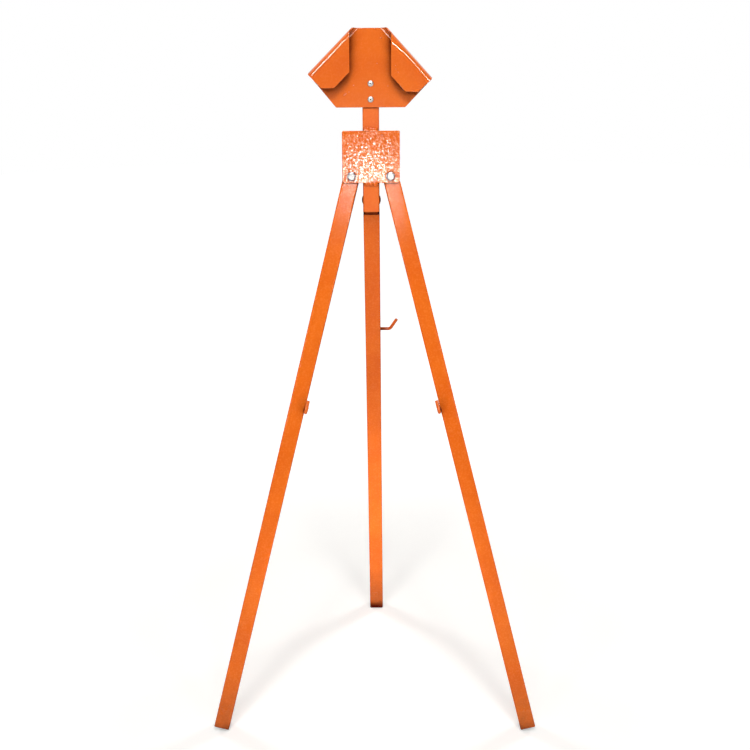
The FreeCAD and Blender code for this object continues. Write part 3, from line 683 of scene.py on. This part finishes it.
def weld_bead(root, along, length, toe_a, toe_b, crown, seed):
    """Fillet bead with overlapping ripples, as rings along it.

    toe_a and toe_b lead from the root to the bead's two edges. Each ring goes from the root to
    one edge, over the crown, and to the other edge.
    """
    dice = random.Random(seed)
    root, along, toe_a, toe_b = Vector(root), Vector(along), Vector(toe_a), Vector(toe_b)
    outward = (toe_a + toe_b).normalized()
    ripples = int(length / BEAD_PITCH) + BEAD_SPARE_RIPPLES
    swells = [dice.uniform(-1, 1) for ripple in range(ripples)]
    rows = int(length * BEAD_ROWS_PER_MM)
    rings = []
    for row in range(rows + 1):
        s = length * row / rows
        short = 1 - min(min(s, length - s) / BEAD_END_LONG, 1)
        taper = math.sqrt(max(0.0, 1 - short ** 2)) * (1 - BEAD_END_SIZE) + BEAD_END_SIZE
        ring = [root + along * s]
        for i in range(BEAD_ACROSS + 1):
            t = i / BEAD_ACROSS
            bow = math.sin(math.pi * t)
            phase = (s + BEAD_LEAN * bow) / BEAD_PITCH
            crest = abs(math.sin(math.pi * phase)) ** BEAD_SHARPNESS
            number = min(int(phase), ripples - 1)
            blend = phase - int(phase)
            swell = swells[number] * (1 - blend) + swells[min(number + 1, ripples - 1)] * blend
            edge = toe_a.lerp(toe_b, t) * (1 + BEAD_SWELL * swell)
            fullness = BEAD_EDGE_RIPPLE + (1 - BEAD_EDGE_RIPPLE) * bow
            lift = crown * bow + BEAD_RIPPLE * (crest - 0.5) * fullness
            lift += BEAD_WANDER * swell * bow
            ring.append(root + along * s + (edge + outward * lift) * taper)
        rings.append(ring)
    return rings


def around(seat, axis, along, angle, radius):
    """Point at an angle and a radius about an axis that starts at the seat."""
    across = Vector((1, 0, 0))
    spoke = across * math.cos(angle) + axis.cross(across) * math.sin(angle)
    return seat + axis * along + spoke * radius


def round_ring(seat, axis, along, radius):
    turns = (2 * math.pi * i / ROUND_STEPS for i in range(ROUND_STEPS))
    return [around(seat, axis, along, angle, radius) for angle in turns]


def hex_reach(angle, turn):
    """Distance from the middle of a hexagon to its side, in one direction."""
    sixth = math.pi / 3
    local = (angle - turn) % sixth - sixth / 2
    return HEX_FLATS / 2 / math.cos(local)


def hex_rings(levels, seat, axis, turn_deg):
    """Rings of a hexagonal body.

    A level is (kind, radius, height, fall). A round one is a circle. A hex one is the full
    hexagon: what reaches beyond the radius falls back by the chamfer's slope times fall.
    """
    slope = math.tan(math.radians(CHAMFER_DEG))
    turn = math.radians(turn_deg)
    rings = []
    for kind, radius, height, fall in levels:
        ring = []
        for i in range(ROUND_STEPS):
            angle = turn + 2 * math.pi * i / ROUND_STEPS
            if kind == "hex":
                reach = hex_reach(angle, turn)
                drop = max(0.0, reach - radius) * slope * fall
                ring.append(around(seat, axis, height - drop, angle, reach))
            else:
                ring.append(around(seat, axis, height, angle, radius))
        rings.append(ring)
    return rings


def bolt_head(x, turn_deg):
    """Hex head with a washer face, chamfered corners and a shallow dish in its top."""
    face = HEX_FLATS / 2 - HEAD_CHAMFER
    under = HEX_FLATS / 2 - WASHER_FACE_IN
    rim = face - HEAD_RIM
    dish = HEX_HIGH - HEAD_DISH_DEEP
    levels = [
        ("round", under, 0.0, 0),
        ("round", under, WASHER_FACE_HIGH, 0),
        ("hex", under + UNDERSIDE_OUT, UNDERSIDE_AT, -UNDERSIDE_FALL),
        ("hex", face, HEX_HIGH, 1),
        ("round", face, HEX_HIGH, 0),
        ("round", rim, HEX_HIGH, 0),
        ("round", rim - HEAD_DISH_SLOPE, dish, 0),
        ("round", HEAD_DISH_MIDDLE, dish, 0),
    ]
    return hex_rings(levels, Vector((x, -PLATE_OUTER, 0)), Vector((0, -1, 0)), turn_deg)


def bolt_shank(x):
    """Plain shank, then a thread from just before the rear plate to past the nut."""
    seat = Vector((x, -PLATE_OUTER, 0))
    back = Vector((0, 1, 0))
    radius = BOLT / 2
    start = 2 * PLATE_OUTER - THREAD_BEFORE_PLATE_FACE
    end = 2 * PLATE_OUTER + WASHER_THICK + NUT_HEX_HIGH + NUT_COLLAR_HIGH + THREAD_PAST_NUT
    outline = ((radius / 2, 0), (radius, SHANK_CHAMFER), (radius, start))
    rings = [round_ring(seat, back, along, out) for out, along in outline]
    rows = int((end - start) / THREAD_PITCH * THREAD_ROWS)
    for row in range(rows + 1):
        along = start + (end - start) * row / rows
        run_out = (end - along) / THREAD_RUN_OUT + THREAD_END_DEPTH
        fade = min(1.0, (along - start) / THREAD_RUN_IN, run_out)
        chamfer = max(0.0, along - (end - THREAD_END_CHAMFER))
        ring = []
        for i in range(ROUND_STEPS):
            phase = (along / THREAD_PITCH - i / ROUND_STEPS) % 1.0
            cut = max(0.0, 1 - abs(phase - 0.5) / THREAD_FLANK) * THREAD_DEEP * fade
            out = radius - THREAD_SLACK - max(cut, chamfer)
            ring.append(around(seat, back, along, 2 * math.pi * i / ROUND_STEPS, out))
        rings.append(ring)
    return rings


def nut_rings(x, turn_deg):
    """Lock nut: hexagon with both ends chamfered, and a rolled collar with its bore open."""
    bore = BOLT / 2 + NUT_BORE_GAP
    face = HEX_FLATS / 2 - NUT_CHAMFER
    top = NUT_HEX_HIGH + NUT_COLLAR_HIGH
    levels = [
        ("round", bore, NUT_LEAD_IN, 0),
        ("round", bore + NUT_LEAD_IN, 0.0, 0),
        ("round", face, 0.0, 0),
        ("hex", face, 0.0, -1),
        ("hex", face, NUT_HEX_HIGH, 1),
        ("round", face - COLLAR_FOOT_IN, NUT_HEX_HIGH + COLLAR_FOOT_UP, 0),
        *(("round", COLLAR_RADIUS + out, NUT_HEX_HIGH + up, 0) for out, up in COLLAR_FOOT),
        *(("round", COLLAR_RADIUS - inward, top - down, 0) for inward, down in COLLAR_RIM),
        ("round", INSERT_RADIUS, top - COLLAR_MOUTH_DROP, 0),
        ("round", INSERT_RADIUS, top - INSERT_HIGH, 0),
        ("round", bore, top - INSERT_HIGH, 0),
    ]
    seat = Vector((x, PLATE_OUTER + WASHER_THICK, 0))
    return hex_rings(levels, seat, Vector((0, 1, 0)), -turn_deg)


def finish_cad_node(name, edge_radius, material):
    """Rounded edges and a material for a piece whose CAD shape stays."""
    piece = frame["nodes"][name]
    for slot in piece.material_slots:
        slot.material = material
    clean = piece.modifiers.new("clean", "NODES")
    clean.node_group = CLEAN
    flat = piece.modifiers.new("flat", "DECIMATE")
    flat.decimate_type = "DISSOLVE"
    flat.angle_limit = math.radians(FLAT_DEG)
    edge = piece.modifiers.new("edge", "BEVEL")
    edge.width = edge_radius * MM
    edge.segments = EDGE_SEGMENTS
    edge.limit_method = "ANGLE"
    edge.angle_limit = math.radians(EDGE_DEG)
    edge.use_clamp_overlap = False
    edge.harden_normals = False
    shade = piece.modifiers.new("shade", "WEIGHTED_NORMAL")
    shade.weight = SHADE_WEIGHT
    shade.keep_sharp = False


def clean_group():
    """Geometry nodes that join the tessellation's split corners and drop its stored normals."""
    group = bpy.data.node_groups.new("clean_tessellation", "GeometryNodeTree")
    for way in ("INPUT", "OUTPUT"):
        group.interface.new_socket("Geometry", in_out=way, socket_type="NodeSocketGeometry")
    nodes, links = group.nodes, group.links
    start = nodes.new("NodeGroupInput")
    merge = nodes.new("GeometryNodeMergeByDistance")
    merge.inputs["Distance"].default_value = MERGE_WITHIN
    drop = nodes.new("GeometryNodeRemoveAttribute")
    drop.inputs["Name"].default_value = "custom_normal"
    smooth = nodes.new("GeometryNodeSetShadeSmooth")
    end = nodes.new("NodeGroupOutput")
    links.new(start.outputs[0], merge.inputs["Geometry"])
    links.new(merge.outputs[0], drop.inputs["Geometry"])
    links.new(drop.outputs[0], smooth.inputs["Geometry"])
    links.new(smooth.outputs[0], end.inputs[0])
    return group


add_camera()
add_world()
add_floor()
for name, settings in LAMPS.items():
    add_lamp(name, **settings)

CLEAN = clean_group()
PAINT_PLATE = orange_paint("paint_plate", 1.0, (0.09, 0.13), 0.50, grain=0.9)
PAINT_HEAD = orange_paint("paint_head", 0.10, (0.11, 0.15), 1.00, coat=0.8)
PAINT_SMOOTH = orange_paint("paint_smooth", 0.3, (0.12, 0.16), 0.50)
PAINT_NECK = orange_paint("paint_neck", 0.6, (0.42, 0.50), 0.35)
PAINT_LEG = orange_paint("paint_leg", 1.0, (0.10, 0.14), 0.26, wear=1.0, grain=0.12)
PAINT_NIB = orange_paint("paint_nib", 0.3, (0.30, 0.40), 1.00)
PAINT_BEAD = orange_paint("paint_bead", 0.5, (0.12, 0.18), 0.70, reach=BEAD_PAINTED_SHADE_REACH)
ZINC = plated_metal("zinc_plate", (0.90, 0.90, 0.89, 1), (0.74, 0.74, 0.74, 1), (0.30, 0.42))
ALUMINIUM = plated_metal(
    "rivet_aluminium", (0.92, 0.92, 0.92, 1), (0.84, 0.84, 0.85, 1), (0.34, 0.50)
)
DARK_STEEL = plated_metal(
    "stem_steel", (0.16, 0.15, 0.15, 1), (0.08, 0.075, 0.07, 1), (0.45, 0.65)
)
NYLON = nylon("insert_nylon", (0.4, 0.55))

# Pieces whose CAD shape stays, with the radius of their edges
KEPT_NODES = {
    "neck_tube": (0.45, PAINT_NECK),
    "sign_head": (0.65, PAINT_HEAD),
    "head_rivets": (0.2, ALUMINIUM),
    "rivet_mandrels": (0.15, DARK_STEEL),
    "hub_front_plate": (0.9, PAINT_PLATE),
    "hub_rear_plate": (0.9, PAINT_PLATE),
    "leg_pivot_sleeves": (0.2, ZINC),
    "leg_bolt_washers": (0.3, ZINC),
    "lock_nut_inserts": (0.3, NYLON),
    "rear_hinge_pin": (0.4, PAINT_SMOOTH),
    "left_leg_tube": (0.45, PAINT_LEG),
    "right_leg_tube": (0.45, PAINT_LEG),
    "rear_leg_tube": (0.45, PAINT_LEG),
    "left_sign_hook": (0.6, PAINT_SMOOTH),
    "right_sign_hook": (0.6, PAINT_SMOOTH),
    "rear_leg_tongue": (0.4, PAINT_SMOOTH),
    "ballast_hook": (0.6, PAINT_SMOOTH),
    "tongue_weld": (0.3, PAINT_SMOOTH),
}


def add_hub_welds():
    for side, node, word in ((-1, "hub_front_welds", "front"), (1, "hub_rear_welds", "rear")):
        beads = []
        for edge, up in ((PLATE_TOP, 1), (-PLATE_BOTTOM, -1)):
            root = (-HUB_BEAD_LONG / 2, side * (HALF - HUB_BEAD_SINK), edge - up * HUB_BEAD_SINK)
            on_plate = side * (PLATE_OUTER - HALF + 2 * HUB_BEAD_SINK)
            toe_a = (0, on_plate, -up * HUB_BEAD_ON_PLATE)
            toe_b = (0, 0, up * HUB_BEAD_HIGH)
            seed = SEED + side + 4 * up
            along = (1, 0, 0)
            beads.append(weld_bead(root, along, HUB_BEAD_LONG, toe_a, toe_b, HUB_BEAD_CROWN, seed))
        name = word + "_weld_beads"
        piece = mesh_piece(name, beads, NECK, "frame", PAINT_BEAD, SHARP_BEAD_DEG)
        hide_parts(node)


def rod_beads(contact, off, along, seed):
    """Beads on both sides of a rod that lies on a face: off leads from the face to the rod."""
    contact, off, along = Vector(contact), Vector(off), Vector(along)
    beads = []
    for side in (-1, 1):
        across = off.cross(along) * side
        root = contact + across * ROD_BEAD_ROOT
        toe = across * ROD_BEAD_REACH
        on_rod = across * (ROD / 2 - ROD_BEAD_INSIDE) + off * (ROD / 2 + ROD_BEAD_OVER)
        bead = weld_bead(root, along, ROD_BEAD_LONG, toe, on_rod, ROD_BEAD_CROWN, seed + side)
        beads.append(bead)
    return beads


def add_hook_welds():
    for word, side in (("left", -1), ("right", 1)):
        contact = (side * (PIVOT_X - HALF), -HALF + SIGN_HOOK_ROOT, -SIGN_HOOK_AT)
        beads = rod_beads(contact, (-side, 0, 0), (0, -1, 0), SEED + 10 * side)
        name, body = word + "_hook_beads", word + "_leg"
        leg = LEG[word]
        piece = mesh_piece(name, beads, leg, body, PAINT_BEAD, SHARP_BEAD_DEG)
        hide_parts(word + "_hook_welds")
    contact = (HALF - BALLAST_HOOK_ROOT, HALF, -REAR_PIVOT_DROP - BALLAST_HOOK_AT)
    beads = rod_beads(contact, (0, 1, 0), (1, 0, 0), SEED + 40)
    name, body = "ballast_hook_beads", "rear_leg"
    piece = mesh_piece(name, beads, REAR, body, PAINT_BEAD, SHARP_BEAD_DEG)
    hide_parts("ballast_hook_welds")


def add_fasteners():
    bolts = []
    nuts = []
    for x, turn in zip((-PIVOT_X, PIVOT_X), HEX_TURNS_DEG):
        bolts.extend([bolt_head(x, turn), bolt_shank(x)])
        nuts.append(nut_rings(x, turn))
    piece = mesh_piece("hex_bolts", bolts, NECK, "frame", ZINC, SHARP_METAL_DEG)
    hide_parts("leg_pivot_bolts")
    piece = mesh_piece("lock_nuts", nuts, NECK, "frame", ZINC, SHARP_METAL_DEG)
    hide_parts("leg_lock_nuts")


def add_nibs():
    """Low irregular lumps in the coat, slightly sunk into the face they lie on."""
    dice = random.Random(SEED)
    lumps = []
    for face, x, z, length, width, high, turn_deg in NIBS:
        turn = math.radians(turn_deg)
        swells = [1 + dice.uniform(-NIB_UNEVEN, NIB_UNEVEN) for lobe in range(NIB_LOBES)]
        rings = []
        for share, lift in NIB_RINGS:
            ring = []
            for i in range(NIB_STEPS):
                angle = 2 * math.pi * i / NIB_STEPS
                place = i * NIB_LOBES / NIB_STEPS
                here, blend = int(place), place % 1
                swell = swells[here] * (1 - blend) + swells[(here + 1) % NIB_LOBES] * blend
                along = length / 2 * share * swell * math.cos(angle)
                across = width / 2 * share * swell * math.sin(angle)
                dx = along * math.cos(turn) - across * math.sin(turn)
                dz = along * math.sin(turn) + across * math.cos(turn)
                ring.append(Vector((x + dx, -face - lift * high, z + dz)))
            rings.append(ring)
        lumps.append(rings)
    mesh_piece("paint_nibs", lumps, NECK, "frame", PAINT_NIB, SHARP_NIB_DEG)


for name, (radius, material) in KEPT_NODES.items():
    finish_cad_node(name, radius, material)
add_nibs()
add_hub_welds()
add_hook_welds()
add_fasteners()

bpy.context.scene.view_settings.view_transform = "Standard"
